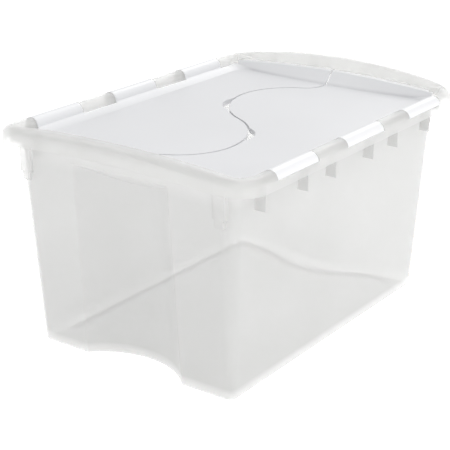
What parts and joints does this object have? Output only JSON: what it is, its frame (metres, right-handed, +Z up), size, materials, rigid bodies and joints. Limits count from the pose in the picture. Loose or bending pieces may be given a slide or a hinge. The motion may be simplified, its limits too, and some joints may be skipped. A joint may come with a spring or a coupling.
{
  "type": "stackable storage bin",
  "caption": "Frosted tapered storage bin with scooped hand-grip ends, arched rim and interlocking S-seam lid halves that swing out on clip hinges.",
  "frame": {"origin": "centre of the bin's footprint, on the surface that it stands on", "axes": "+X along the bin's length, towards one scooped end; +Y across it, towards the rear lid's hinge; +Z up"},
  "size_m": [0.57, 0.4068, 0.3225],
  "materials": {
    "frosted_plastic": "translucent frosted polypropylene, satin",
    "white_plastic": "opaque cool white polypropylene, satin gloss"
  },
  "bodies": {
    "tub": {"tub": "frosted_plastic"},
    "front_lid": {"front_lid": "white_plastic"},
    "rear_lid": {"rear_lid": "white_plastic"}
  },
  "joints": [
    {"name": "front_lid_hinge", "type": "hinge", "parent": "tub", "child": "front_lid", "pos_m": [0, -0.1915, 0.2945], "axis": [1, 0, 0], "range_deg": [0, 185]},
    {"name": "rear_lid_hinge", "type": "hinge", "parent": "tub", "child": "rear_lid", "pos_m": [0, 0.1915, 0.2945], "axis": [-1, 0, 0], "range_deg": [0, 185]}
  ]
}
